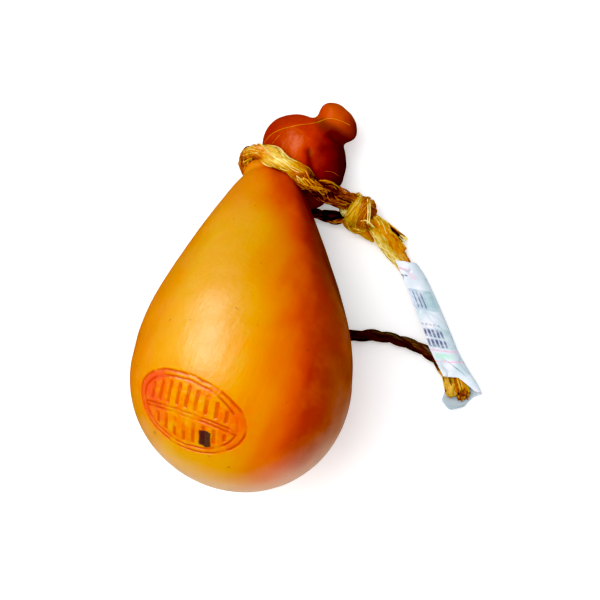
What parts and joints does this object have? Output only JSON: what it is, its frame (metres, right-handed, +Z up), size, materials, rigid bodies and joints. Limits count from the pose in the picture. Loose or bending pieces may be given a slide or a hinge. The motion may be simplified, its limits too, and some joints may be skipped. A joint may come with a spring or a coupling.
{
  "type": "smoked scamorza cheese",
  "caption": "Pear-shaped smoked scamorza lying on its side, with a knotted head, a straw cord tied round its neck and a folded paper label on the cord.",
  "frame": {"origin": "on the surface the cheese lies on, under the middle of the cheese, noose and knot", "axes": "+Y from the round end to the head, +Z up, +X to the side where the knot, the cord and the label lie"},
  "size_m": [0.1505, 0.1836, 0.0943],
  "materials": {
    "smoked_rind": "satin, waxy smoked rind, darker brown on the head",
    "straw": "twisted straw fibre",
    "label_paper": "thin white paper with simple printed shapes"
  },
  "bodies": {
    "root": {"cheese": "smoked_rind", "neck_noose": "straw", "neck_knot": "straw", "knot_tail": "straw", "label_cord": "straw", "return_cord": "straw", "paper_label": "label_paper"}
  },
  "joints": []
}
